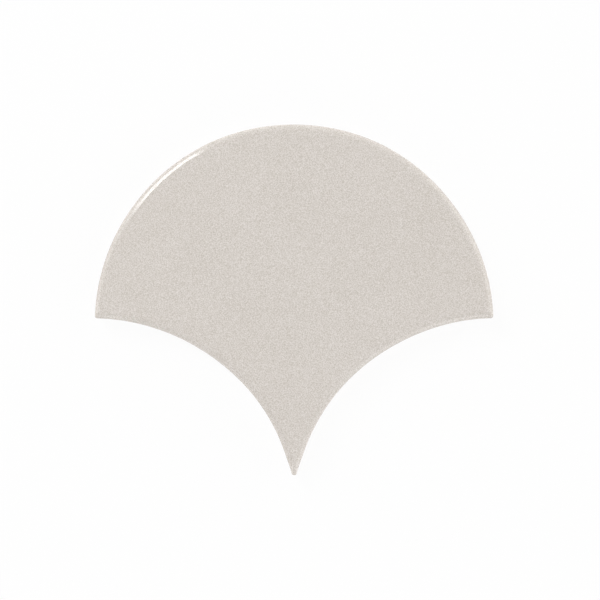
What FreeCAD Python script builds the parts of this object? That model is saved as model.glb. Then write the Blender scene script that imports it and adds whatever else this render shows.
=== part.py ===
import FreeCAD
import Part
import math
import os

# Glazed fish scale wall tile, pressed and fired as one piece of ceramic.
# It lies on its grooved back with the glazed face up. The origin is the centre of the crown's circle, on the
# plane of the back. +X runs along a course of tiles, +Y points to the crown and -Y to the tail.
# Lengths are in millimetres.

# Outline
TILE_WIDTH = 120.0  # across the shoulders, which is the crown's diameter
GROUT_JOINT = 1.5  # even gap that the outline leaves to each neighbouring tile
CORNER_RADIUS = 0.8  # rounding of the two shoulder corners in plan
TIP_RADIUS = 1.1  # rounding of the tail's tip in plan

# Section
THICKNESS = 8.3  # from the back to the glazed face
RIM_FACE_RADIUS = 2.8  # of the rim's wide arc, which rolls off the face
RIM_EDGE_RADIUS = 0.9  # of the rim's tight arc, which turns down into the side wall
RIM_TURN = 42.0  # slope of the rim where its two arcs meet, in degrees from the plane of the face
SIDE_DRAFT = 0.25  # how far the side wall draws in on its way down to the back
FOOT_RADIUS = 0.35  # rounding of the edge between the side wall and the back

# Keying grooves across the back
BACK_MARGIN = 7.0  # plain border between the grooves and the edge
GROOVE_PITCH = 9.0  # from one groove to the next
GROOVE_WIDTH = 4.5  # at the mouth, on the plane of the back
GROOVE_DEPTH = 0.8
GROOVE_SLOPE = 55.0  # of a groove's long walls, in degrees from the plane of the back

# The tiles of the next course stand half a tile to each side and half a tile width lower.
# Each flank is drawn round the crown of such a neighbour, so the joint is even all the way along it.
crown_radius = TILE_WIDTH / 2
flank_radius = crown_radius + GROUT_JOINT
neighbour_offset = (TILE_WIDTH + GROUT_JOINT) / 2
course_drop = TILE_WIDTH / 2

UP = FreeCAD.Vector(0, 0, 1)
CROWN_CENTRE = FreeCAD.Vector(0, 0, 0)
LEFT_NEIGHBOUR = FreeCAD.Vector(-neighbour_offset, -course_drop, 0)
RIGHT_NEIGHBOUR = FreeCAD.Vector(neighbour_offset, -course_drop, 0)
FULL_TURN = 360.0


def on_section(radius, height):
    """A point of a turned section, drawn in the XZ plane."""
    return FreeCAD.Vector(radius, 0, height)


def polygon_face(points):
    """A flat face with straight edges from point to point and back to the first."""
    return Part.Face(Part.makePolygon(points + points[:1]))


def section_arc(centre, radius, inwards, start_slope, end_slope):
    """An arc of the tile's section, between two slopes of its surface, in radians from the plane of the face."""
    slopes = (start_slope, (start_slope + end_slope) / 2, end_slope)
    outwards = [on_section(-inwards * math.sin(slope), math.cos(slope)) for slope in slopes]
    return Part.Arc(*[centre + way * radius for way in outwards])


def edge_arcs(wall_radius, inwards):
    """The section's arcs: the foot's, from the back into the side wall, and the rim's two, up to the face."""
    turn = math.radians(RIM_TURN)
    spread = RIM_FACE_RADIUS - RIM_EDGE_RADIUS
    rim_width = RIM_EDGE_RADIUS + spread * math.sin(turn)
    wall_top = THICKNESS - RIM_EDGE_RADIUS - spread * (1 - math.cos(turn))
    wall_lean = math.atan2(SIDE_DRAFT, wall_top)
    wall_at_foot = SIDE_DRAFT * (1 - FOOT_RADIUS / wall_top)

    foot_centre_in = wall_at_foot + FOOT_RADIUS / math.cos(wall_lean)
    foot_centre = on_section(wall_radius + inwards * foot_centre_in, FOOT_RADIUS)
    edge_centre = on_section(wall_radius + inwards * RIM_EDGE_RADIUS, wall_top)
    face_centre = on_section(wall_radius + inwards * rim_width, THICKNESS - RIM_FACE_RADIUS)
    upright = math.pi / 2
    foot_arc = section_arc(foot_centre, FOOT_RADIUS, inwards, math.pi, upright + wall_lean)
    edge_arc = section_arc(edge_centre, RIM_EDGE_RADIUS, inwards, upright, turn)
    face_arc = section_arc(face_centre, RIM_FACE_RADIUS, inwards, turn, 0.0)
    return foot_arc, edge_arc, face_arc


def edge_section(wall_radius, inwards):
    """A closed half section from the axis out to the tile's edge.

    inwards is the way from the wall into the tile: -1, towards the axis, on a rounded-out edge such as the
    crown, and +1 on a flank, which is hollowed out round the axis. Where the wall is nearer to the axis than
    the rim is wide, the rim stops at the axis and leaves no flat.
    """
    foot_arc, edge_arc, face_arc = edge_arcs(wall_radius, inwards)
    beyond_axis = -crown_radius
    far_bottom = on_section(beyond_axis, 0)
    far_top = on_section(beyond_axis, THICKNESS)
    back = Part.makePolygon([far_top, far_bottom, foot_arc.StartPoint])
    wall = Part.makePolygon([foot_arc.EndPoint, edge_arc.StartPoint])
    face = Part.makePolygon([face_arc.EndPoint, far_top])
    rim = [edge_arc.toShape(), face_arc.toShape()]
    outline = Part.Wire(back.Edges + [foot_arc.toShape()] + wall.Edges + rim + face.Edges)
    far_side = polygon_face([on_section(0, 0), on_section(0, THICKNESS), far_top, far_bottom])
    return Part.Face(outline).cut(far_side).Faces[0]


def turned_edge(centre, wall_radius, inwards, start=0.0, angle=FULL_TURN):
    """The half section turned about an upright axis, through the angle from the start, in degrees."""
    section = edge_section(wall_radius, inwards)
    section.rotate(CROWN_CENTRE, UP, start)
    solid = section.revolve(CROWN_CENTRE, UP, angle)
    solid.translate(centre)
    return solid


def circle_crossing(centre_a, radius_a, centre_b, radius_b):
    """Where two circles in plan cross, on the left of the way from the first centre to the second."""
    span = centre_b - centre_a
    along = (span.Length**2 + radius_a**2 - radius_b**2) / (2 * span.Length)
    aside = math.sqrt(radius_a**2 - along**2)
    direction = span.normalize()
    return centre_a + direction * along + UP.cross(direction) * aside


def heading(origin, target):
    """The direction from one point to another in plan, in degrees."""
    return math.degrees(math.atan2(target.y - origin.y, target.x - origin.x))


def round_off(tile, centre, radius, start, end):
    """Takes off the sharp corner between two headings seen from centre, and puts a rounded one there."""
    angle = (end - start) % FULL_TURN
    sector = Part.makeCylinder(crown_radius, THICKNESS, centre, UP, angle)
    sector.rotate(centre, UP, start)
    return tile.cut(sector).fuse(turned_edge(centre, radius, -1, start, angle))


def glazed_body():
    """The tile with a plain back: a round crown, hollowed flanks, and rounded shoulders and tail."""
    body = turned_edge(CROWN_CENTRE, crown_radius, -1)
    for neighbour in (LEFT_NEIGHBOUR, RIGHT_NEIGHBOUR):
        body = body.cut(turned_edge(neighbour, flank_radius, 1))

    shoulder_reach = (crown_radius - CORNER_RADIUS, flank_radius + CORNER_RADIUS)
    left = circle_crossing(LEFT_NEIGHBOUR, shoulder_reach[1], CROWN_CENTRE, shoulder_reach[0])
    right = FreeCAD.Vector(-left.x, left.y, 0)
    tail_reach = flank_radius + TIP_RADIUS
    tip = circle_crossing(LEFT_NEIGHBOUR, tail_reach, RIGHT_NEIGHBOUR, tail_reach)

    to_left = heading(CROWN_CENTRE, left)
    to_right = heading(CROWN_CENTRE, right)
    body = round_off(body, left, CORNER_RADIUS, to_left, heading(left, LEFT_NEIGHBOUR))
    body = round_off(body, right, CORNER_RADIUS, heading(right, RIGHT_NEIGHBOUR), to_right)
    body = round_off(body, tip, TIP_RADIUS, heading(tip, LEFT_NEIGHBOUR), heading(tip, RIGHT_NEIGHBOUR))
    return body.removeSplitter()


def grooved_field():
    """The part of the back inside the plain border, as deep as the grooves."""
    field = Part.makeCylinder(crown_radius - BACK_MARGIN, GROOVE_DEPTH, CROWN_CENTRE)
    for neighbour in (LEFT_NEIGHBOUR, RIGHT_NEIGHBOUR):
        field = field.cut(Part.makeCylinder(flank_radius + BACK_MARGIN, GROOVE_DEPTH, neighbour))
    return field


def groove(y):
    """A straight groove along X, with sloping walls that narrow towards its floor."""
    narrowing = GROOVE_DEPTH / math.tan(math.radians(GROOVE_SLOPE))
    mouth = GROOVE_WIDTH / 2
    floor = mouth - narrowing
    corners = [(-mouth, 0), (mouth, 0), (floor, GROOVE_DEPTH), (-floor, GROOVE_DEPTH)]
    section = polygon_face([FreeCAD.Vector(-crown_radius, y + across, depth) for across, depth in corners])
    return section.extrude(FreeCAD.Vector(TILE_WIDTH, 0, 0))


def keying_grooves():
    """Grooves at an even pitch either side of a rib along the X axis, cut off at the border."""
    rows = math.ceil(crown_radius / GROOVE_PITCH)
    grooves = [groove((row + 0.5) * GROOVE_PITCH) for row in range(-rows, rows)]
    return grooved_field().common(Part.makeCompound(grooves))


fish_scale_tile = glazed_body().cut(keying_grooves()).Solids[0]
os.makedirs("parts", exist_ok=True)
fish_scale_tile.exportStep("parts/fish_scale_tile.step")

box = fish_scale_tile.optimalBoundingBox(False)
print(f"size {box.XLength:.2f} x {box.YLength:.2f} x {box.ZLength:.2f} mm")
print(f"volume {fish_scale_tile.Volume / 1000:.2f} cm3, valid {fish_scale_tile.isValid()}")
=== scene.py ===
import math

import bpy
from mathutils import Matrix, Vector


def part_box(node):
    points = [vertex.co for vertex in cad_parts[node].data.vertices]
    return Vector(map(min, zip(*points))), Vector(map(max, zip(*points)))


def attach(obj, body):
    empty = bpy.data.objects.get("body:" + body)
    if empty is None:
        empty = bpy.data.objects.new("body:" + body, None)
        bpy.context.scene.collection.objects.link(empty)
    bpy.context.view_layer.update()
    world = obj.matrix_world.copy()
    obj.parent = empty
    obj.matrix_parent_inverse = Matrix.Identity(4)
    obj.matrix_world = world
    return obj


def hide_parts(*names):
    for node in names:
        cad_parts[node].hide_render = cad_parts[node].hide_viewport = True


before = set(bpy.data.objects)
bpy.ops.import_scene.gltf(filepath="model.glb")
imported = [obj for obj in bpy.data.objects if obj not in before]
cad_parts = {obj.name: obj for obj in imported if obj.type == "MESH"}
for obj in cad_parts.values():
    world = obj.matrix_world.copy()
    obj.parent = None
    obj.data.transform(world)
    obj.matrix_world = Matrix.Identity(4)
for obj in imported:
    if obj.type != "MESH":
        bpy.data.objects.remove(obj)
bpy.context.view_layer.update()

# The tile's outline and spine.
# A fish scale tile is dust-pressed from white-burning clay in a steel die. Its outline is a round crown, and
# two flanks that are drawn round the crowns of the tiles that nest below it, one grout joint away.
MM = 0.001
tile_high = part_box("fish_scale_tile")[1]
crown_radius = tile_high.y
grout_joint = 1.5 * MM
corner_radius = 0.8 * MM
tip_radius = 1.1 * MM

flank_radius = crown_radius + grout_joint
both_radii = crown_radius + flank_radius
neighbour = Vector((crown_radius + grout_joint / 2, -crown_radius, 0))
neighbour_reach = neighbour.length


def heading(start, end):
    """The direction from one point to another in plan, in radians."""
    return math.atan2(end.y - start.y, end.x - start.x)


# The spine lies midway between the edges. It runs up the middle of the tail to a fork, and from there to each
# shoulder. Its ends are the centres of the rounded tip and the rounded shoulder corners.
to_corner = crown_radius - corner_radius
past_flank = flank_radius + corner_radius
corner_cosine = (to_corner**2 + neighbour_reach**2 - past_flank**2) / (2 * to_corner * neighbour_reach)
shoulder_angle = heading(Vector((0, 0, 0)), neighbour) + math.acos(corner_cosine)
corner = Vector((to_corner * math.cos(shoulder_angle), to_corner * math.sin(shoulder_angle), 0))
tip = Vector((0, neighbour.y + math.sqrt((flank_radius + tip_radius) ** 2 - neighbour.x**2), 0))
fork = Vector((0, (both_radii**2 - neighbour_reach**2) / (2 * (both_radii + crown_radius)), 0))
wing_share = (crown_radius**2 + neighbour_reach**2 - flank_radius**2) / 2

# The rim's section is two tangent arcs: a wide one that rolls off the face, and a tight one that turns down
# into the side wall.
rim_face_radius = 2.8 * MM
rim_edge_radius = 0.9 * MM
rim_turn = math.radians(42)
rim_spread = rim_face_radius - rim_edge_radius
rim_width = rim_edge_radius + rim_spread * math.sin(rim_turn)
rim_drop = rim_edge_radius + rim_spread * (1 - math.cos(rim_turn))

tile_sizes = {
    "Crown Radius": crown_radius,
    "Flank Radius": flank_radius,
    "Both Radii": both_radii,
    "Wing Share": wing_share,
    "Corner Radius": corner_radius,
    "Tip Radius": tip_radius,
    "Shoulder Angle": shoulder_angle,
    "Neighbour": neighbour,
    "Corner": corner,
    "Tip": tip,
    "Fork": fork,
    "Corner End": heading(corner, neighbour),
    "Tip Start": heading(tip, neighbour),
    "Thickness": tile_high.z,
    "Rim Edge Radius": rim_edge_radius,
    "Rim Spread": rim_spread,
    "Spread Rise": rim_spread * math.cos(rim_turn),
    "Rim Turn": rim_turn,
    "Rim Width": rim_width,
    "Rim Drop": rim_drop,
    "Side Draft": 0.25 * MM,
    "Foot Radius": 0.35 * MM,
    "Edge Waver": 0.3 * MM,
    "Edge Waver Length": 45 * MM,
    "Tip Wear Length": 7 * MM,
    "Glaze Line": 4.4 * MM,
    "Glaze Wander": 0.9 * MM,
    "Glaze Wander Length": 9 * MM,
    "Glaze Coat": 0.12 * MM,
    "Groove Margin": 7.0 * MM,
    "Groove Pitch": 9.0 * MM,
    "Groove Width": 4.5 * MM,
    "Groove Depth": 0.8 * MM,
    "Groove Slope": math.radians(55),
}
tile_tree = bpy.data.node_groups.new("fish_scale_tile", "GeometryNodeTree")
tile_tree.is_modifier = True
tile_inputs = {}
for size_name, size_value in tile_sizes.items():
    socket_kind = "NodeSocketVector" if isinstance(size_value, Vector) else "NodeSocketFloat"
    tile_inputs[size_name] = tile_tree.interface.new_socket(size_name, socket_type=socket_kind)
tile_tree.interface.new_socket("Tile", in_out="OUTPUT", socket_type="NodeSocketGeometry")


def add_node(tree, kind, inputs=(), **settings):
    """Adds a node with its settings. Its inputs, given in order or by name, take values, nodes or sockets."""
    node = tree.nodes.new(kind)
    for setting, value in settings.items():
        setattr(node, setting, value)
    pairs = inputs.items() if isinstance(inputs, dict) else enumerate(inputs)
    for place, value in pairs:
        sources = value if isinstance(value, list) else [value]
        for source in sources:
            if isinstance(source, bpy.types.Node):
                source = next(socket for socket in source.outputs if socket.enabled)
            if isinstance(source, bpy.types.NodeSocket):
                tree.links.new(source, node.inputs[place])
            else:
                node.inputs[place].default_value = source
    return node


# Each stretch of the outline starts as a flat sheet, one unit square. X runs along the stretch, and Y across
# the tile's section: from the spine on the face, over the rim, down the side, and to the spine on the back.
MATH = "ShaderNodeMath"
VECTOR = "ShaderNodeVectorMath"
RANGE = "ShaderNodeMapRange"
EAST = (1, 0, 0)
QUARTER_TURN = math.pi / 2
size = add_node(tile_tree, "NodeGroupInput").outputs
place = add_node(tile_tree, "GeometryNodeInputPosition")
sheet_place = add_node(tile_tree, "ShaderNodeSeparateXYZ", [place]).outputs
along = sheet_place["X"]
across = sheet_place["Y"]


def nearest_on_flank(spine):
    """The point of the flank nearest to a point of the spine."""
    away = add_node(tile_tree, VECTOR, [spine, size["Neighbour"]], operation="SUBTRACT")
    away = add_node(tile_tree, VECTOR, [away], operation="NORMALIZE")
    flank_steps = [away, size["Flank Radius"], size["Neighbour"]]
    return add_node(tile_tree, VECTOR, flank_steps, operation="MULTIPLY_ADD")


def round_corner(centre, radius, start, end):
    """The points of a rounded corner, from one heading to another."""
    angle = add_node(tile_tree, RANGE, [along, 0, 1, start, end])
    outwards = add_node(tile_tree, "ShaderNodeVectorRotate", {"Vector": EAST, "Angle": angle})
    return add_node(tile_tree, VECTOR, [outwards, radius, centre], operation="MULTIPLY_ADD")


# Between crown and flank, each point of the spine is as far in from the crown as it is from the flank.
wing_angle = add_node(tile_tree, RANGE, [along, 0, 1, size["Shoulder Angle"], QUARTER_TURN])
wing_way = add_node(tile_tree, "ShaderNodeVectorRotate", {"Vector": EAST, "Angle": wing_angle})
crown_edge = add_node(tile_tree, VECTOR, {0: wing_way, "Scale": size["Crown Radius"]}, operation="SCALE")
towards = add_node(tile_tree, VECTOR, [wing_way, size["Neighbour"]], operation="DOT_PRODUCT")
wing_top = add_node(tile_tree, MATH, [towards, size["Crown Radius"]], operation="MULTIPLY")
wing_top = add_node(tile_tree, MATH, [size["Wing Share"], wing_top], operation="SUBTRACT")
wing_bottom = add_node(tile_tree, MATH, [size["Both Radii"], towards], operation="SUBTRACT")
wing_inset = add_node(tile_tree, MATH, [wing_top, wing_bottom], operation="DIVIDE")
wing_reach = add_node(tile_tree, MATH, [size["Crown Radius"], wing_inset], operation="SUBTRACT")
wing_spine = add_node(tile_tree, VECTOR, {0: wing_way, "Scale": wing_reach}, operation="SCALE")
VECTOR_A, VECTOR_B = 4, 5  # a Mix node has the same input names for numbers, vectors and colours
tail_ends = {"Factor": along, VECTOR_A: size["Fork"], VECTOR_B: size["Tip"]}
tail_spine = add_node(tile_tree, "ShaderNodeMix", tail_ends, data_type="VECTOR")

corner_edge = round_corner(size["Corner"], size["Corner Radius"], size["Shoulder Angle"], size["Corner End"])
tip_edge = round_corner(size["Tip"], size["Tip Radius"], size["Tip Start"], -QUARTER_TURN)

# The stretches of the right half: edge, spine, how many points along, and whether it is drawn anticlockwise.
stretches = [
    (crown_edge, wing_spine, 180, True),
    (corner_edge, size["Corner"], 12, False),
    (nearest_on_flank(wing_spine), wing_spine, 180, False),
    (nearest_on_flank(tail_spine), tail_spine, 120, False),
    (tip_edge, size["Tip"], 12, False),
]

# How many rings each part of the section has, from the spine on the face to the spine on the back.
section_rings = {"face": 10, "rim": 18, "skirt": 6, "coat": 2, "wall": 6, "foot": 4, "back": 4}
ring_count = sum(section_rings.values())
sheets = []
for edge, spine, points_along, anticlockwise in stretches:
    for side in (1, -1):
        grid = add_node(
            tile_tree,
            "GeometryNodeMeshGrid",
            {"Size X": 1, "Size Y": 1, "Vertices X": points_along, "Vertices Y": ring_count + 1},
        )
        sheet = add_node(tile_tree, "GeometryNodeTransform", {"Geometry": grid, "Translation": (0.5, 0.5, 0)})
        for line_name, line in {"edge": edge, "spine": spine}.items():
            line = add_node(tile_tree, VECTOR, [line, (side, 1, 1)], operation="MULTIPLY")
            sheet = add_node(
                tile_tree,
                "GeometryNodeStoreNamedAttribute",
                {"Geometry": sheet, "Name": line_name, "Value": line},
                data_type="FLOAT_VECTOR",
            )
        if anticlockwise == (side == 1):
            sheet = add_node(tile_tree, "GeometryNodeFlipFaces", [sheet])
        sheets.append(sheet)
body = add_node(tile_tree, "GeometryNodeJoinGeometry", [sheets])

edge = add_node(tile_tree, "GeometryNodeInputNamedAttribute", {"Name": "edge"}, data_type="FLOAT_VECTOR")
spine = add_node(tile_tree, "GeometryNodeInputNamedAttribute", {"Name": "spine"}, data_type="FLOAT_VECTOR")

# The body's section. Each part of it has its own progress, which goes from 0 to 1 over its rings.
progress = {}
rings_before = 0
for part_name, rings in section_rings.items():
    part_start = rings_before / ring_count
    rings_before += rings
    progress[part_name] = add_node(tile_tree, RANGE, [across, part_start, rings_before / ring_count, 0, 1])
    if part_name == "skirt":
        glaze_end = rings_before / ring_count

# The rim's height and its distance in from the edge. Where the tail and the corners are narrower than two
# rims, the melted glaze draws the rims together into one low round crest.
to_spine = add_node(tile_tree, VECTOR, [spine, edge], operation="SUBTRACT")
reach = add_node(tile_tree, VECTOR, [to_spine], operation="LENGTH").outputs["Value"]
inwards = add_node(tile_tree, VECTOR, [to_spine], operation="NORMALIZE")
narrowed = add_node(tile_tree, MATH, [reach, size["Rim Width"]], operation="MINIMUM")
narrow_share = add_node(tile_tree, MATH, [narrowed, size["Rim Width"]], operation="DIVIDE")
missing = add_node(tile_tree, MATH, [1, narrow_share], operation="SUBTRACT")
crest_loss = add_node(tile_tree, MATH, [missing, missing], operation="MULTIPLY")
crest_left = add_node(tile_tree, MATH, [1, crest_loss], operation="SUBTRACT")
crest_share = add_node(tile_tree, MATH, [crest_left], operation="SQRT")

slope = add_node(tile_tree, MATH, [progress["rim"], QUARTER_TURN], operation="MULTIPLY")
face_slope = add_node(tile_tree, MATH, [slope, size["Rim Turn"]], operation="MINIMUM")
edge_sine = add_node(tile_tree, MATH, [slope], operation="SINE")
edge_cosine = add_node(tile_tree, MATH, [slope], operation="COSINE")
face_sine = add_node(tile_tree, MATH, [face_slope], operation="SINE")
face_cosine = add_node(tile_tree, MATH, [face_slope], operation="COSINE")
edge_way = add_node(tile_tree, MATH, [edge_sine, size["Rim Edge Radius"]], operation="MULTIPLY")
rim_way = add_node(tile_tree, MATH, [face_sine, size["Rim Spread"], edge_way], operation="MULTIPLY_ADD")
rim_in = add_node(tile_tree, MATH, [size["Rim Width"], rim_way], operation="SUBTRACT")
rim_in = add_node(tile_tree, MATH, [rim_in, narrow_share], operation="MULTIPLY")
edge_rise = add_node(tile_tree, MATH, [edge_cosine, size["Rim Edge Radius"]], operation="MULTIPLY")
rim_rise = add_node(tile_tree, MATH, [face_cosine, size["Rim Spread"], edge_rise], operation="MULTIPLY_ADD")
rim_rise = add_node(tile_tree, MATH, [rim_rise, size["Spread Rise"]], operation="SUBTRACT")
wall_top = add_node(tile_tree, MATH, [size["Thickness"], size["Rim Drop"]], operation="SUBTRACT")
height = add_node(tile_tree, MATH, [rim_rise, crest_share, wall_top], operation="MULTIPLY_ADD")

# On the face, the rest of the way to the spine is flat.
flat_reach = add_node(tile_tree, MATH, [reach, narrowed], operation="SUBTRACT")
flat_left = add_node(tile_tree, MATH, [1, progress["face"]], operation="SUBTRACT")
inset = add_node(tile_tree, MATH, [flat_reach, flat_left, rim_in], operation="MULTIPLY_ADD")

# The side wall goes down from the rim, glazed as far as the glaze ran and bare biscuit below that.
NOISE_LOW, NOISE_HIGH = 0.25, 0.75  # nearly all of a noise lies between these levels
wander_scale = add_node(tile_tree, MATH, [1, size["Glaze Wander Length"]], operation="DIVIDE")
wander = add_node(tile_tree, "ShaderNodeTexNoise", {"Vector": edge, "Scale": wander_scale, "Detail": 2})
line_low = add_node(tile_tree, MATH, [size["Glaze Line"], size["Glaze Wander"]], operation="SUBTRACT")
line_high = add_node(tile_tree, MATH, [size["Glaze Line"], size["Glaze Wander"]], operation="ADD")
glaze_line = add_node(tile_tree, RANGE, [wander, NOISE_LOW, NOISE_HIGH, line_low, line_high])
height = add_node(tile_tree, "ShaderNodeMix", {"Factor": progress["skirt"], "A": height, "B": glaze_line})
height = add_node(
    tile_tree, "ShaderNodeMix", {"Factor": progress["wall"], "A": height, "B": size["Foot Radius"]}
)
draft = add_node(tile_tree, RANGE, [height, wall_top, 0, 0, size["Side Draft"]])
inset = add_node(tile_tree, MATH, [inset, draft], operation="ADD")
inset = add_node(tile_tree, MATH, [progress["coat"], size["Glaze Coat"], inset], operation="MULTIPLY_ADD")

# The foot is rounded into the back, and the back runs in to the spine.
foot_turn = add_node(tile_tree, MATH, [progress["foot"], QUARTER_TURN], operation="MULTIPLY")
foot_sine = add_node(tile_tree, MATH, [foot_turn], operation="SINE")
foot_cosine = add_node(tile_tree, MATH, [foot_turn], operation="COSINE")
foot_fall = add_node(tile_tree, MATH, [foot_sine, size["Foot Radius"]], operation="MULTIPLY")
foot_way = add_node(tile_tree, MATH, [1, foot_cosine], operation="SUBTRACT")
height = add_node(tile_tree, MATH, [height, foot_fall], operation="SUBTRACT")
inset = add_node(tile_tree, MATH, [foot_way, size["Foot Radius"], inset], operation="MULTIPLY_ADD")
inset = add_node(tile_tree, "ShaderNodeMix", {"Factor": progress["back"], "A": inset, "B": reach})

# Drying and firing leave the edge slightly out of true, and the thin tip wears most of all.
# The edge is true up to one level of the noise and furthest in at another, and the waver fades out on the way
# to the spine.
WAVER_SEED = 574
TRUE_EDGE, FURTHEST_IN = 0.48, 0.74
waver_scale = add_node(tile_tree, MATH, [1, size["Edge Waver Length"]], operation="DIVIDE")
waver = add_node(
    tile_tree,
    "ShaderNodeTexNoise",
    {"Vector": edge, "W": WAVER_SEED, "Scale": waver_scale, "Detail": 0},
    noise_dimensions="4D",
)
waver = add_node(tile_tree, RANGE, [waver, TRUE_EDGE, FURTHEST_IN, 0, 1])
to_tip = add_node(tile_tree, VECTOR, [edge, size["Tip"]], operation="DISTANCE").outputs["Value"]
tip_loss = add_node(tile_tree, RANGE, [to_tip, size["Tip Radius"], size["Tip Wear Length"], 1, 0])
waver = add_node(tile_tree, MATH, [waver, tip_loss], operation="MAXIMUM")
waver_left = add_node(tile_tree, RANGE, [inset, 0, reach, size["Edge Waver"], 0])
inset = add_node(tile_tree, MATH, [waver, waver_left, inset], operation="MULTIPLY_ADD")

surface = add_node(tile_tree, VECTOR, {0: inwards, "Scale": inset}, operation="SCALE")
surface = add_node(tile_tree, VECTOR, [surface, edge], operation="ADD")
lift = add_node(tile_tree, "ShaderNodeCombineXYZ", {"Z": height})
surface = add_node(tile_tree, VECTOR, [surface, lift], operation="ADD")


def linear(hex_colour):
    """An sRGB colour such as #D5CFC8 as linear RGBA."""
    channels = [int(hex_colour[start : start + 2], 16) / 255 for start in (1, 3, 5)]
    return (*[c / 12.92 if c <= 0.04045 else ((c + 0.055) / 1.055) ** 2.4 for c in channels], 1.0)


# Gloss ceramic glaze, sprayed on and melted smooth in the kiln. It shines like glass over a warm light grey
# that is full of fine specks, because pigment and opacifier grains stay apart in the melt.
# The specks are really about 0.1 mm. They are drawn at 0.3 mm, one pixel of the picture, so that they show.
glaze = bpy.data.materials.new("gloss_ceramic_glaze")
glaze.use_nodes = True
glaze_tree = glaze.node_tree
glaze_shader = glaze_tree.nodes["Principled BSDF"]
glaze_shader.inputs["IOR"].default_value = 1.6
glaze_place = add_node(glaze_tree, "ShaderNodeTexCoord").outputs["Object"]
speck_size = 0.3 * MM
off_grid = {"Vector": glaze_place, "Axis": (1, 2, 3), "Angle": 1}  # keeps the noise's grid off the flat face
speck_place = add_node(glaze_tree, "ShaderNodeVectorRotate", off_grid)
speck_noise = {"Vector": speck_place, "Scale": 1 / speck_size, "Detail": 0}
specks = add_node(glaze_tree, "ShaderNodeTexNoise", speck_noise)
cloud_size = 14 * MM
cloud_strength = 0.035
cloud_noise = {"Vector": glaze_place, "Scale": 1 / cloud_size, "Detail": 2}
clouds = add_node(glaze_tree, "ShaderNodeTexNoise", cloud_noise)
speck_tone = add_node(glaze_tree, RANGE, [specks, 0.2, 0.8, -0.08, 1.08])
cloud_tone = add_node(glaze_tree, RANGE, [clouds, 0.3, 0.7, -cloud_strength, cloud_strength])
glaze_tone = add_node(glaze_tree, MATH, [speck_tone, cloud_tone], operation="ADD", use_clamp=True)
COLOUR_A, COLOUR_B, COLOUR_OUT = 6, 7, 2  # of a Mix node
glaze_colours = {0: glaze_tone, COLOUR_A: linear("#C4BCB2"), COLOUR_B: linear("#E5DFDA")}
glaze_colour = add_node(glaze_tree, "ShaderNodeMix", glaze_colours, data_type="RGBA")
glaze_tree.links.new(glaze_colour.outputs[COLOUR_OUT], glaze_shader.inputs["Base Color"])
peel_size = 5 * MM
peel_height = 0.01 * MM
peel_noise = {"Vector": glaze_place, "Scale": 1 / peel_size, "Detail": 1}
peel = add_node(glaze_tree, "ShaderNodeTexNoise", peel_noise)
smoothest, roughest = 0.07, 0.11
glaze_roughness = add_node(glaze_tree, RANGE, [peel, 0.3, 0.7, smoothest, roughest])
glaze_tree.links.new(glaze_roughness.outputs[0], glaze_shader.inputs["Roughness"])
peel_shape = {"Strength": 1, "Distance": peel_height, "Height": peel}
peel_bump = add_node(glaze_tree, "ShaderNodeBump", peel_shape)
glaze_tree.links.new(peel_bump.outputs[0], glaze_shader.inputs["Normal"])

# Biscuit ware: the fired clay body where no glaze ran. It is matt and chalky, cream to buff, with fine grit
# of about 0.3 mm that stands a little proud.
biscuit = bpy.data.materials.new("fired_clay_biscuit")
biscuit.use_nodes = True
biscuit_tree = biscuit.node_tree
biscuit_shader = biscuit_tree.nodes["Principled BSDF"]
biscuit_shader.inputs["IOR"].default_value = 1.5
biscuit_shader.inputs["Roughness"].default_value = 0.85
biscuit_place = add_node(biscuit_tree, "ShaderNodeTexCoord").outputs["Object"]
grit_size = 0.35 * MM
grit_height = 0.03 * MM
grit_noise = {"Vector": biscuit_place, "Scale": 1 / grit_size, "Detail": 2}
grit = add_node(biscuit_tree, "ShaderNodeTexNoise", grit_noise)
biscuit_tone = add_node(biscuit_tree, RANGE, [grit, NOISE_LOW, NOISE_HIGH, 0, 1])
biscuit_colours = {0: biscuit_tone, COLOUR_A: linear("#CDBFAB"), COLOUR_B: linear("#EAE0D2")}
biscuit_colour = add_node(biscuit_tree, "ShaderNodeMix", biscuit_colours, data_type="RGBA")
biscuit_tree.links.new(biscuit_colour.outputs[COLOUR_OUT], biscuit_shader.inputs["Base Color"])
grit_shape = {"Strength": 1, "Distance": grit_height, "Height": grit}
grit_bump = add_node(biscuit_tree, "ShaderNodeBump", grit_shape)
biscuit_tree.links.new(grit_bump.outputs[0], biscuit_shader.inputs["Normal"])

glazed = add_node(tile_tree, "FunctionNodeCompare", {"A": across, "B": glaze_end}, operation="LESS_THAN")
body = add_node(
    tile_tree,
    "GeometryNodeStoreNamedAttribute",
    {"Geometry": body, "Name": "glazed", "Value": glazed},
    data_type="BOOLEAN",
    domain="FACE",
)
body = add_node(tile_tree, "GeometryNodeSetPosition", {"Geometry": body, "Position": surface})
seam_gap = 0.002 * MM
body = add_node(tile_tree, "GeometryNodeMergeByDistance", {"Geometry": body, "Distance": seam_gap})
for line_name in ("edge", "spine"):
    body = add_node(tile_tree, "GeometryNodeRemoveAttribute", {"Geometry": body, "Name": line_name})

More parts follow.
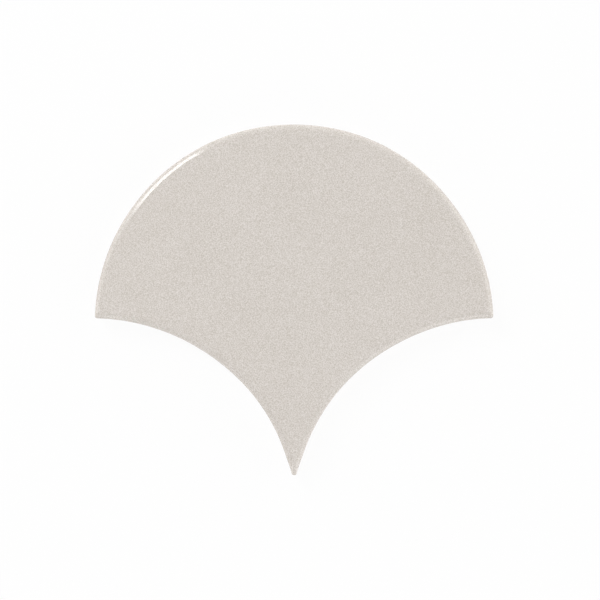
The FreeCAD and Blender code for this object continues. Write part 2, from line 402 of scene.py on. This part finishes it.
# The keying grooves: bars with leaning walls, repeated at an even pitch over the back and kept inside its
# border. The die presses them into the clay, so that the adhesive on the wall gets a hold.
half_rows = math.ceil(crown_radius / tile_sizes["Groove Pitch"])
bar_length = add_node(tile_tree, MATH, [size["Crown Radius"], 2], operation="MULTIPLY")
bar_height = add_node(tile_tree, MATH, [size["Groove Depth"], 2], operation="MULTIPLY")
bar_size = add_node(tile_tree, "ShaderNodeCombineXYZ", [bar_length, size["Groove Width"], bar_height])
bar = add_node(tile_tree, "GeometryNodeMeshCube", {"Size": bar_size})
lean = add_node(tile_tree, MATH, [size["Groove Slope"]], operation="TANGENT")
lean = add_node(tile_tree, MATH, [sheet_place["Z"], lean], operation="DIVIDE")
lean_side = add_node(tile_tree, MATH, [sheet_place["Y"]], operation="SIGN")
lean = add_node(tile_tree, MATH, [lean, lean_side], operation="MULTIPLY")
lean = add_node(tile_tree, MATH, [lean, -1], operation="MULTIPLY")
lean = add_node(tile_tree, "ShaderNodeCombineXYZ", {"Y": lean})
bar = add_node(tile_tree, "GeometryNodeSetPosition", {"Geometry": bar, "Offset": lean})
first_row = add_node(tile_tree, MATH, [size["Groove Pitch"], 0.5 - half_rows], operation="MULTIPLY")
first_row = add_node(tile_tree, "ShaderNodeCombineXYZ", {"Y": first_row})
row_step = add_node(tile_tree, "ShaderNodeCombineXYZ", {"Y": size["Groove Pitch"]})
rows = add_node(
    tile_tree,
    "GeometryNodeMeshLine",
    {"Count": 2 * half_rows, "Start Location": first_row, "Offset": row_step},
)
bars = add_node(tile_tree, "GeometryNodeInstanceOnPoints", {"Points": rows, "Instance": bar})
bars = add_node(tile_tree, "GeometryNodeRealizeInstances", [bars])

border_radius = add_node(tile_tree, MATH, [size["Crown Radius"], size["Groove Margin"]], operation="SUBTRACT")
beside_radius = add_node(tile_tree, MATH, [size["Flank Radius"], size["Groove Margin"]], operation="ADD")
DISC_HEIGHT = 20 * MM
DISC_POINTS = 256
field = add_node(
    tile_tree,
    "GeometryNodeMeshCylinder",
    {"Vertices": DISC_POINTS, "Radius": border_radius, "Depth": DISC_HEIGHT},
)
beside = add_node(
    tile_tree,
    "GeometryNodeMeshCylinder",
    {"Vertices": DISC_POINTS, "Radius": beside_radius, "Depth": DISC_HEIGHT},
)
outside = []
for side in (1, -1):
    stand = add_node(tile_tree, VECTOR, [size["Neighbour"], (side, 1, 1)], operation="MULTIPLY")
    outside.append(add_node(tile_tree, "GeometryNodeTransform", {"Geometry": beside, "Translation": stand}))
MESH_BOOLEAN = "GeometryNodeMeshBoolean"
within_border = {"Mesh 2": [bars, field]}
grooves = add_node(tile_tree, MESH_BOOLEAN, within_border, operation="INTERSECT", solver="MANIFOLD")
grooves = add_node(tile_tree, MESH_BOOLEAN, [grooves, outside], operation="DIFFERENCE", solver="MANIFOLD")
body = add_node(tile_tree, MESH_BOOLEAN, [body, grooves], operation="DIFFERENCE", solver="MANIFOLD")

# Smooth all over, with a crease where two faces meet at a sharp fold, as at the mouth of a groove.
SHADE_SMOOTH = "GeometryNodeSetShadeSmooth"
sharp_fold = math.radians(35)
body = add_node(tile_tree, SHADE_SMOOTH, {"Geometry": body, "Shade Smooth": True}, domain="FACE")
fold = add_node(tile_tree, "GeometryNodeInputMeshEdgeAngle").outputs["Unsigned Angle"]
creased = add_node(tile_tree, "FunctionNodeCompare", {"A": fold, "B": sharp_fold}, operation="GREATER_THAN")
creases = {"Geometry": body, "Selection": creased, "Shade Smooth": False}
body = add_node(tile_tree, SHADE_SMOOTH, creases, domain="EDGE")
body = add_node(tile_tree, "GeometryNodeRealizeInstances", [body])
glazed = add_node(tile_tree, "GeometryNodeInputNamedAttribute", {"Name": "glazed"}, data_type="BOOLEAN")
body = add_node(tile_tree, "GeometryNodeReplaceMaterial", {"Geometry": body, "New": biscuit})
glazed_faces = {"Geometry": body, "Selection": glazed, "Material": glaze}
body = add_node(tile_tree, "GeometryNodeSetMaterial", glazed_faces)
add_node(tile_tree, "NodeGroupOutput", [body])

tile = bpy.data.objects.new("glazed_tile", bpy.data.meshes.new("glazed_tile_blank"))
bpy.context.scene.collection.objects.link(tile)
shaping = tile.modifiers.new("fish_scale", "NODES")
shaping.node_group = tile_tree
for size_name, socket in tile_inputs.items():
    size_value = tile_sizes[size_name]
    shaping[socket.identifier] = tuple(size_value) if isinstance(size_value, Vector) else size_value
shaped = tile.evaluated_get(bpy.context.evaluated_depsgraph_get())
tile_mesh = bpy.data.meshes.new_from_object(shaped)
tile.modifiers.remove(shaping)
tile.data = tile_mesh
tile_mesh.name = "glazed_tile"
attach(tile, "root")
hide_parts("fish_scale_tile")

# The floor: matt white studio paper under the tile. It goes white for the camera and in reflections, and
# keeps a part of its own shading, so that the shadow at the tile's edge stays.
floor_size = 4.0
white_share = 0.94
floor_mesh = bpy.data.meshes.new("studio_floor")
floor_corners = [(x * floor_size / 2, y * floor_size / 2, 0) for x, y in ((-1, -1), (1, -1), (1, 1), (-1, 1))]
floor_mesh.from_pydata(floor_corners, [], [(0, 1, 2, 3)])
floor = bpy.data.objects.new("studio_floor", floor_mesh)
bpy.context.scene.collection.objects.link(floor)
paper = bpy.data.materials.new("white_studio_paper")
paper.use_nodes = True
paper_tree = paper.node_tree
paper_shader = paper_tree.nodes["Principled BSDF"]
paper_shader.inputs["Base Color"].default_value = linear("#F7F7F7")
paper_shader.inputs["Roughness"].default_value = 0.9
paper_shader.inputs["Specular IOR Level"].default_value = 0.0
white = add_node(paper_tree, "ShaderNodeEmission", {"Color": (1, 1, 1, 1), "Strength": 1})


def shown_rays(tree):
    """1 for a ray from the camera, a reflection or glass, and 0 for a ray that only brings light."""
    rays = add_node(tree, "ShaderNodeLightPath").outputs
    shown = add_node(tree, MATH, [rays["Is Camera Ray"], rays["Is Glossy Ray"]], operation="MAXIMUM")
    return add_node(tree, MATH, [shown, rays["Is Transmission Ray"]], operation="MAXIMUM")


shown = add_node(paper_tree, MATH, [shown_rays(paper_tree), white_share], operation="MULTIPLY")
paper_mix = add_node(paper_tree, "ShaderNodeMixShader", [shown, paper_shader, white])
paper_tree.links.new(paper_mix.outputs[0], paper_tree.nodes["Material Output"].inputs["Surface"])
floor_mesh.materials.append(paper)

# The light: a white surround, an upright strip softbox that leaves the streak on the crown's rim, and three
# wide softboxes round the tile that lighten its rim. Their cloth goes dark towards the border, so that their
# images in the glaze have no hard edge.
world = bpy.data.worlds.new("studio_surround")
bpy.context.scene.world = world
world.use_nodes = True
world_tree = world.node_tree

# Where the surround shows, it is plain white. The light that it sheds is dim from above and grows towards the
# horizon, most of all on the right, where the rim is brightest.
overhead_level = 0.261
horizon_level = 1.45
bright_horizon_level = 3.62
bright_side = (0.9, 0.43, 0)
horizon_top = 0.5
look = add_node(world_tree, "ShaderNodeTexCoord").outputs["Generated"]
look_up = add_node(world_tree, "ShaderNodeSeparateXYZ", [look]).outputs["Z"]
look_aside = add_node(world_tree, VECTOR, [look, bright_side], operation="DOT_PRODUCT").outputs["Value"]
horizon = add_node(world_tree, RANGE, [look_aside, 0, 1, horizon_level, bright_horizon_level])
lowness = add_node(world_tree, RANGE, [look_up, 0, horizon_top, 1, 0])
shed_level = add_node(world_tree, MATH, [lowness, horizon, overhead_level], operation="MULTIPLY_ADD")
surround_level = add_node(world_tree, RANGE, [shown_rays(world_tree), 0, 1, shed_level, 1])
surround = world_tree.nodes["Background"]
surround.inputs["Color"].default_value = (1, 1, 1, 1)
world_tree.links.new(surround_level.outputs[0], surround.inputs["Strength"])


def way_to(heading_angle, from_upright):
    """The direction of a heading in plan and an angle off the upright, both in degrees."""
    turn = math.radians(heading_angle)
    tilt = math.radians(from_upright)
    return Vector((math.sin(tilt) * math.cos(turn), math.sin(tilt) * math.sin(turn), math.cos(tilt)))


def add_softbox(name, centre, facing, width, height, borders, radiance):
    """A lamp, sized in metres. Its cloth fades out at its right, left, bottom and top as the tile sees it."""
    lamp = bpy.data.lights.new(name, "AREA")
    lamp.shape = "RECTANGLE"
    lamp.size = width
    lamp.size_y = height
    lamp.energy = radiance * math.pi * width * height
    lamp.use_nodes = True
    lamp_tree = lamp.node_tree
    spot = add_node(lamp_tree, "ShaderNodeNewGeometry").outputs["Parametric"]
    spot = add_node(lamp_tree, "ShaderNodeSeparateXYZ", [spot]).outputs
    sides = (("X", 0, width), ("X", 1, -width), ("Y", 0, height), ("Y", 1, -height))
    glow = 1
    for (axis, start, length), border in zip(sides, borders):
        fade_range = [spot[axis], start, start + border / length, 0, 1]
        fade = add_node(lamp_tree, RANGE, fade_range, interpolation_type="SMOOTHSTEP")
        glow = add_node(lamp_tree, MATH, [glow, fade], operation="MULTIPLY")
    lamp_tree.links.new(glow.outputs[0], lamp_tree.nodes["Emission"].inputs["Strength"])
    softbox = bpy.data.objects.new(name, lamp)
    softbox.location = centre
    softbox.rotation_euler = facing.to_track_quat("-Z", "Y").to_euler()
    softbox.visible_camera = False
    bpy.context.scene.collection.objects.link(softbox)


# The strip stands upright, so the streak's ends are cut straight across it: the upper one is sharp, and the
# lower one fades out.
key_way = way_to(135.3, 90)
key_distance = 0.566
over_streak = Vector((-38 * MM, 45 * MM, 1.03))
add_softbox(
    "key_softbox",
    over_streak + key_way * key_distance,
    -key_way,
    width=0.35,
    height=1.38,
    borders=(0.015, 0.13, 0.09, 0.47),
    radiance=7.2,
)
side_distance = 1.0
for side_name, side_heading, side_width, side_radiance in (
    ("right_softbox", 8, 1.6, 1.6),
    ("left_softbox", 166, 1.2, 1.7),
    ("front_softbox", 284, 1.4, 2.3),
):
    side_way = way_to(side_heading, 60)
    add_softbox(
        side_name,
        side_way * side_distance,
        -side_way,
        width=side_width,
        height=0.6,
        borders=(0.3, 0.3, 0.3, 0.3),
        radiance=side_radiance,
    )

# The camera: straight above the tile with a long lens, as a catalogue picture is taken. Its field is measured
# at the foot of the rim, where the outline is widest.
camera_data = bpy.data.cameras.new("catalogue_camera")
camera_data.lens = 100
camera_data.sensor_width = 36
field_width = 180.4 * MM
field_centre = (1.748 * MM, 7.044 * MM)
camera_distance = field_width * camera_data.lens / camera_data.sensor_width
camera = bpy.data.objects.new("catalogue_camera", camera_data)
camera.location = (*field_centre, tile_high.z - rim_drop + camera_distance)
bpy.context.scene.collection.objects.link(camera)
bpy.context.scene.camera = camera
bpy.context.scene.view_settings.view_transform = "Standard"
